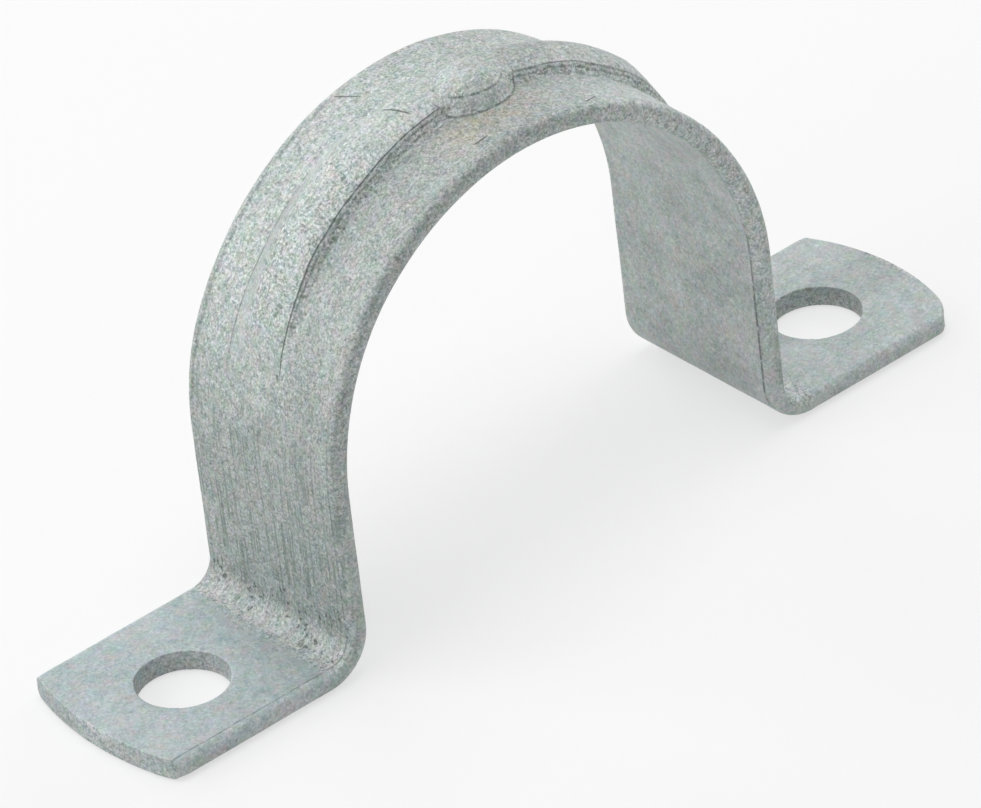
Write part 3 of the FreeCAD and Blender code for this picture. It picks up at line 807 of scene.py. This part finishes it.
def rib_lines(desk, at):
    """Mask the painted shade of the creases along the rib and around the boss, drawn as dark
    lines.
    """
    sway = desk.window(desk.cloud(at.plan, 0.16, 1.0, 0.5), 0.3, 0.7, -0.1, 0.1)
    drift = desk.maths("ADD", at.across, sway)
    # Painted shade: dark lines along the creases of the rib, at its shoulder, at the foot of its
    # flank and at its back, and arcs at the boss's shoulder and foot.
    shoulder = desk.times(desk.near(drift, RIB_SHOULDER, 0.02, 0.11),
                          desk.window(at.far, 38.6, 37.0),
                          desk.window(at.broken, 0.0, 1.0, 0.5, 0.9),
                          desk.window(at.along, 3.0, 12.0, 1.0, 0.6))
    crease = desk.times(desk.near(drift, RIB_FOOT, 0.03, 0.15),
                        desk.window(at.far, 33.0, 26.0), at.broken)
    second = desk.times(desk.near(drift, RIB_FOOT + 0.4, 0.02, 0.11),
                        desk.window(at.far, 34.0, 30.0), at.broken)
    behind = desk.times(desk.near(drift, 6.0, 0.04, 0.17),
                        desk.near(at.along, -28.0, 10.0, 13.0), at.broken)
    painted_crease_shade = desk.most(shoulder, desk.scaled(crease, 0.35), desk.scaled(second, 0.4),
                       desk.scaled(behind, 0.6))
    inner_arc = desk.near(at.from_boss, at.boss_foot - BOSS_FLANK, 0.03, 0.16)
    outer_arc = desk.near(at.from_boss, at.boss_foot, 0.03, 0.16)
    arcs = desk.times(desk.most(desk.scaled(inner_arc, 0.65), desk.scaled(outer_arc, 0.8)),
                      desk.window(at.across, -1.8, -2.8),
                      desk.window(at.broken, 0.0, 1.0, 0.5, 1.0))
    return desk.most(desk.times(painted_crease_shade, at.clear), arcs)


def scratch(desk, at, middle, slope, length):
    """Mask one straight scratch."""
    run = desk.maths("SUBTRACT", at.along, middle[0])
    level = desk.maths("ADD", at.across, desk.scaled(run, -slope))
    steep = math.hypot(1, slope)
    return desk.times(desk.near(level, middle[1], 0.03 * steep, 0.14 * steep),
                      desk.near(at.along, middle[0], length * 0.4, length * 0.5))


def line_zone(desk, at):
    """Mask all the dark lines: the painted crease shade on the rib, the lines along the edges,
    and the scratches.
    """
    seam = desk.times(desk.near(at.across, -11.75, 0.04, 0.15),
                      desk.window(at.far, 40.0, 56.0), at.broken,
                      desk.window(at.along, 66.0, 74.0, 1.0, 0.0))
    back = desk.times(desk.near(at.across, 11.4, 0.1, 0.4),
                      desk.near(at.along, -27.0, 17.0, 22.0), at.broken)
    marks = desk.most(rib_lines(desk, at), desk.scaled(seam, 0.55), desk.scaled(back, 0.5),
                      *(scratch(desk, at, *row) for row in SCRATCHES))
    corner = desk.times(desk.near(at.across, -11.7, 0.06, 0.24),
                        desk.near(at.along, 47.0, 20.0, 25.0), at.broken,
                        desk.window(at.along, 42.0, 56.0, 0.45, 1.0))
    return desk.most(desk.times(marks, at.outer), corner)


def tone_zone(desk, at, line, leg):
    """Give the factor by which the colour is lighter or darker from zone to zone: duller zinc at
    the mill edges and in random clouds, and painted light and shade elsewhere.
    """
    # Painted light and shade on the upper side of the left arch: its front shoulder is painted
    # darker and its back paler, and it is a little darker near the crown than further down.
    left_arch = desk.times(desk.window(at.along, -52.0, -38.0),
                           desk.window(at.along, 12.0, 2.0), at.outer)
    lean = desk.times(desk.window(at.across, -5.0, -1.5, 0.88, 1.06),
                      desk.window(at.along, -26.0, -14.0, 1.02, 0.97))
    # Painted shade, partly duller zinc: the crest of the rib on the right of the crown is
    # painted darker.
    right_rib = desk.times(desk.near(at.across, 0.6, 3.2, 4.4),
                           desk.window(at.along, 2.0, 7.0), at.outer)
    # Painted shade: the left leg is painted darker.
    left_leg = desk.times(leg, desk.window(at.along, -30.0, -44.0))
    rims = desk.times(desk.window(at.edge, 0.1, 0.5), desk.window(at.far, 58.0, 40.0),
                      desk.window(at.along, 10.0, 40.0, 1.0, 0.2))
    # Painted shade: the hollow of the bend above each foot is painted darker on the upper side.
    painted_hollow_shade = desk.times(desk.near(at.far, line.bend_end - 4.4, 1.2, 2.8), at.outer)
    # The inner side is clouded at random, and is also painted a little paler down to the upper
    # part of the right leg and darker from there to the right foot, as painted light and shade.
    clouds_and_painted_light = desk.times(
        desk.window(desk.cloud(at.plan, 0.14, 3.0, 0.6), 0.35, 0.65, 0.93, 1.1),
        desk.window(at.along, 52.0, 68.0, 1.03, 0.95))
    return desk.times(desk.between(left_arch, 1.0, lean), desk.toned(left_leg, 0.92),
                      desk.toned(rims, 0.92), desk.toned(painted_hollow_shade, 0.93),
                      desk.between(at.outer, clouds_and_painted_light, 1.0), desk.toned(right_rib, 0.87))


def strip_zones_group(line, sizes):
    """Masks of the strap's zones, read from the flat plan of the strip in millimetres."""
    group, desk, given, out = new_group(
        "strip_zones", (("Plan", PLACE), ("Outer", NUMBER), ("Edge", NUMBER)),
        tuple((name, NUMBER) for name in ZONES))
    at = PlanReading(desk, given, millimetres(sizes, "boss_radius"))
    rub_and_highlight, pitted = bend_zones(desk, at, line)
    leg = desk.times(desk.window(at.far, 36.0, 50.0),
                     desk.window(at.far, line.bend_end, line.leg_end))
    foot = desk.times(desk.window(at.far, line.bend_end, line.bend_end + 0.25), at.outer,
                      desk.window(at.along, -5.0, 5.0, 1.0, 0.4))
    stain = desk.times(desk.near(at.along, -1.0, 3.0, 10.0),
                       desk.near(at.across, -7.4, 1.2, 3.6), at.clear,
                       desk.window(at.wobble, 0.34, 0.58), at.outer)
    burr = desk.times(desk.window(at.edge, 0.55, 1.0),
                      desk.window(at.far, line.end - 2.4, line.end - 1.2), at.outer)
    masks = {"Rough": rough_zone(desk, at, line), "Rub_and_highlight": rub_and_highlight, "Pitted": pitted,
             "Drawn": desk.times(leg, at.outer), "Lines": line_zone(desk, at),
             "Foot": foot, "Warm": stain, "Burr": burr,
             "Tone": tone_zone(desk, at, line, leg)}
    for name, mask in masks.items():
        desk.join(mask, out.inputs[name])
    return group


def named(desk, name):
    """Read one of the mesh's own masks."""
    return desk.add("ShaderNodeAttribute", attribute_name=name).outputs["Fac"]


def zone_masks(desk, groups):
    """Read the masks of the strip's zones, and the streaks of the drawn ones."""
    plan = desk.add("ShaderNodeUVMap", uv_map="strip_plan").outputs[0]
    zones = desk.add("ShaderNodeGroup", node_tree=groups["zones"])
    desk.feed(zones, Plan=plan, Outer=named(desk, "outer"), Edge=named(desk, "edge"))
    masks = {word: zones.outputs[word] for word in ZONES}
    streaks = desk.add("ShaderNodeGroup", node_tree=groups["streaks"])
    desk.feed(streaks, Plan=plan, Amount=masks["Drawn"])
    masks["Streaks"] = streaks.outputs["Mask"]
    return masks


def pit_mask(desk, groups, place, masks, amount):
    """Read the pits and dross specks, which are stronger where the zinc is rough."""
    pits = desk.add("ShaderNodeGroup", node_tree=groups["pits"])
    deep = desk.maths("ADD", desk.scaled(masks["Rough"], 0.5), amount)
    deep = desk.maths("ADD", deep, desk.most(masks["Pitted"], desk.scaled(masks["Burr"], 0.7)))
    desk.feed(pits, Place=place, Scale=1150.0, Amount=deep)
    return pits.outputs["Mask"]


def zinc_body(desk, masks, finish):
    """Colour the zinc by its zones, before the crystals are added."""
    body = desk.blend(masks["Foot"], finish.body, finish.smooth)
    # The pale band at each bend is rubbed zinc with a painted highlight in it.
    body = desk.blend(desk.scaled(masks["Rub_and_highlight"], 0.6), body, finish.rubbed)
    return desk.blend(masks["Warm"], body, finish.warm)


def zinc_relief(desk, grain, masks):
    """Raise the grain, and sink pits, streaks and lines into it."""
    height = desk.times(grain, desk.window(masks["Rough"], 0.1, 1.0, 0.2, 1.0))
    for word, depth in (("Pits", 0.8), ("Streaks", 0.5), ("Lines", 1.2)):
        height = desk.maths("SUBTRACT", height, desk.scaled(masks[word], depth))
    bump = desk.add("ShaderNodeBump")
    desk.feed(bump, Height=height, Strength=1.0, Distance=BUMP_DEPTH)
    return bump.outputs[0]


def galvanised(name, finish, groups, contrast, pit_amount, roughness, tone):
    """Make one galvanised material from the shared effects."""
    material = bpy.data.materials.new(name)
    material.use_nodes = True
    desk = NodeDesk(material.node_tree)
    place = desk.add("ShaderNodeTexCoord").outputs["Object"]
    masks = zone_masks(desk, groups)
    masks["Pits"] = pit_mask(desk, groups, place, masks, pit_amount)
    mottle = desk.add("ShaderNodeGroup", node_tree=groups["mottle"])
    lively = desk.maths("ADD", desk.scaled(masks["Rough"], 0.75), contrast)
    desk.feed(mottle, Place=place, Body=zinc_body(desk, masks, finish), Pale=finish.pale,
              Shade=finish.shade, Rose=finish.rose, Contrast=lively)
    colour, grain = mottle.outputs["Color"], mottle.outputs["Grain"]
    masks["Bright"] = desk.times(masks["Burr"], desk.window(grain, 0.66, 0.84))
    # The lines darken the colour with the pit colour; on the rib and the boss they are painted
    # crease shade.
    for word, share, tint in (("Streaks", 0.6, finish.shade), ("Pits", 0.7, finish.pit),
                              ("Bright", 0.9, finish.pale), ("Lines", 0.75, finish.pit)):
        colour = desk.blend(desk.scaled(masks[word], share), colour, tint)
    # The tone factor multiplies the colour; besides duller zinc it holds painted light and
    # shade.
    lean = desk.grey(desk.scaled(masks["Tone"], tone))
    gloss = desk.maths("ADD", desk.scaled(grain, 0.12), roughness)
    gloss = desk.maths("ADD", gloss, desk.scaled(masks["Rub_and_highlight"], 0.12), clamp=True)
    shader = material.node_tree.nodes["Principled BSDF"]
    desk.feed(shader, Base_Color=desk.blend(1.0, colour, lean, "MULTIPLY"), Roughness=gloss,
              Normal=zinc_relief(desk, grain, masks), Metallic=0.4)
    return material


# Operators.


class STRAP_OT_build(bpy.types.Operator):
    """Model the strap from a flat blank, and give it its zinc"""

    bl_idname = "strap.build"
    bl_label = "Build the strap"

    def execute(self, context):
        sizes = context.scene.strap_sizes
        finish = context.scene.zinc_finish
        line = StripLine(sizes)
        blank = cut_blank(line, sizes)
        thicken(blank, line)
        for face in blank.faces:
            on_side = abs(face.calc_center_median().y) > HALF_WIDTH - 0.01
            face.material_index = int(abs(face.normal.z) < 0.5 and not on_side)
        round_mill_edges(blank, sizes)
        sheared = end_outline(blank)
        for vert in blank.verts:
            vert.co.x, vert.co.y = blank_plan(line, sizes, vert.co.x, vert.co.y)
        bevel(blank, sheared, millimetres(sizes, "sheared_edge"), 3)
        round_hole_rims(blank, line, sizes)
        for face in blank.faces:
            face.smooth = True
        mark_blank(blank, line)
        press(blank, line, sizes)
        bend_blank(blank, line)
        bmesh.ops.remove_doubles(blank, verts=blank.verts[:], dist=1e-6)
        bmesh.ops.recalc_face_normals(blank, faces=blank.faces[:])
        mesh = bpy.data.meshes.new("strap_strip")
        blank.to_mesh(mesh)
        blank.free()
        groups = {"mottle": zinc_mottle_group(), "pits": zinc_pits_group(),
                  "streaks": draw_streaks_group(), "zones": strip_zones_group(line, sizes)}
        mesh.materials.append(galvanised("galvanised_face", finish, groups, contrast=0.2,
                                         pit_amount=0.1, roughness=0.45, tone=1.0))
        mesh.materials.append(galvanised("galvanised_cut", finish, groups, contrast=0.45,
                                         pit_amount=0.3, roughness=0.52, tone=0.92))
        strap = new_piece("strap_strip", mesh)
        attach(strap, "root")
        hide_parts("strap")
        return {"FINISHED"}


def pale_stage_material():
    """Make the floor's material: white to the camera and to the zinc, with its shadow."""
    material = bpy.data.materials.new("pale_floor")
    material.use_nodes = True
    desk = NodeDesk(material.node_tree)
    shader = material.node_tree.nodes["Principled BSDF"]
    out = material.node_tree.nodes["Material Output"]
    desk.feed(shader, Base_Color=(0.93, 0.93, 0.93, 1), Roughness=0.9)
    glow = desk.feed(desk.add("ShaderNodeEmission"), Color=(1, 1, 1, 1), Strength=1.0)
    rays = desk.add("ShaderNodeLightPath")
    seen = desk.most(rays.outputs["Is Camera Ray"], rays.outputs["Is Glossy Ray"])
    share = desk.scaled(seen, FLOOR_GLOW)
    both = desk.add("ShaderNodeMixShader")
    desk.join(share, both.inputs[0])
    desk.join(shader.outputs[0], both.inputs[1])
    desk.join(glow.outputs[0], both.inputs[2])
    desk.join(both.outputs[0], out.inputs["Surface"])
    return material


def add_lamp(name, place, power):
    """Add a soft square lamp that faces the strap."""
    lamp = bpy.data.lights.new(name, "AREA")
    lamp.shape = "SQUARE"
    lamp.size = LAMP_SIZE
    lamp.energy = power
    holder = bpy.data.objects.new(name, lamp)
    holder.location = place
    holder.rotation_euler = (LAMP_TARGET - Vector(place)).to_track_quat("-Z", "Y").to_euler()
    bpy.context.scene.collection.objects.link(holder)


def add_camera():
    """Set the camera: a long lens from above the left foot."""
    swing, lift, roll = (math.radians(angle) for angle in CAMERA_TURNS)
    back = Vector((math.sin(swing) * math.cos(lift), -math.cos(swing) * math.cos(lift),
                   math.sin(lift)))
    right = Vector((math.cos(swing), math.sin(swing), 0))
    up = back.cross(right)
    wide = right * math.cos(roll) + up * math.sin(roll)
    tall = up * math.cos(roll) - right * math.sin(roll)
    place = back * CAMERA_BACK + wide * CAMERA_ASIDE + tall * CAMERA_RISE
    lens = bpy.data.cameras.new("camera")
    lens.sensor_width = SENSOR_WIDTH
    lens.lens = LENS_LENGTH
    lens.clip_start = 0.05
    camera = bpy.data.objects.new("camera", lens)
    camera.matrix_world = Matrix.Translation(place) @ Matrix(
        (wide, tall, back)).transposed().to_4x4()
    bpy.context.scene.collection.objects.link(camera)
    bpy.context.scene.camera = camera


def set_world():
    """Light the scene from all around, and show white behind the strap."""
    world = bpy.data.worlds.new("studio")
    bpy.context.scene.world = world
    world.use_nodes = True
    desk = NodeDesk(world.node_tree)
    air = world.node_tree.nodes["Background"]
    rays = desk.add("ShaderNodeLightPath")
    seen = desk.most(*(rays.outputs[kind] for kind in
                       ("Is Camera Ray", "Is Transmission Ray", "Is Glossy Ray")))
    desk.feed(air, Color=(1, 1, 1, 1), Strength=desk.window(seen, 0.0, 1.0, SKY_LIGHT, 1.0))


class STRAP_OT_stage(bpy.types.Operator):
    """Set the floor, the lamps, the surroundings and the camera"""

    bl_idname = "strap.stage"
    bl_label = "Set the stage"

    def execute(self, context):
        ground = bmesh.new()
        bmesh.ops.create_grid(ground, x_segments=1, y_segments=1, size=FLOOR_REACH)
        bmesh.ops.translate(ground, verts=ground.verts[:], vec=(0, 0, -FLOOR_DROP))
        mesh = bpy.data.meshes.new("floor")
        ground.to_mesh(mesh)
        ground.free()
        mesh.materials.append(pale_stage_material())
        new_piece("floor", mesh)
        set_world()
        for name, place, power in LAMPS:
            add_lamp(name, place, power)
        add_camera()
        context.scene.view_settings.view_transform = "Standard"
        return {"FINISHED"}


class STRAP_PT_panel(bpy.types.Panel):
    """Sidebar panel of the conduit strap"""

    bl_idname = "STRAP_PT_panel"
    bl_label = "Conduit strap"
    bl_space_type = "VIEW_3D"
    bl_region_type = "UI"
    bl_category = "Conduit strap"

    def draw(self, context):
        layout = self.layout
        for settings in (context.scene.strap_sizes, context.scene.zinc_finish):
            column = layout.column()
            for name in settings.bl_rna.properties.keys():
                if name not in ("rna_type", "name"):
                    column.prop(settings, name)
        layout.operator(STRAP_OT_build.bl_idname)
        layout.operator(STRAP_OT_stage.bl_idname)


CLASSES = (StrapSizes, ZincFinish, STRAP_OT_build, STRAP_OT_stage, STRAP_PT_panel)


def register():
    """Register the classes and hang the settings on the scene."""
    for item in CLASSES:
        bpy.utils.register_class(item)
    bpy.types.Scene.strap_sizes = bpy.props.PointerProperty(type=StrapSizes)
    bpy.types.Scene.zinc_finish = bpy.props.PointerProperty(type=ZincFinish)


def unregister():
    """Take the settings and the classes away again."""
    del bpy.types.Scene.zinc_finish
    del bpy.types.Scene.strap_sizes
    for item in reversed(CLASSES):
        bpy.utils.unregister_class(item)


def main():
    """Build everything."""
    register()
    bpy.ops.strap.build()
    bpy.ops.strap.stage()


if __name__ == "__main__":
    main()
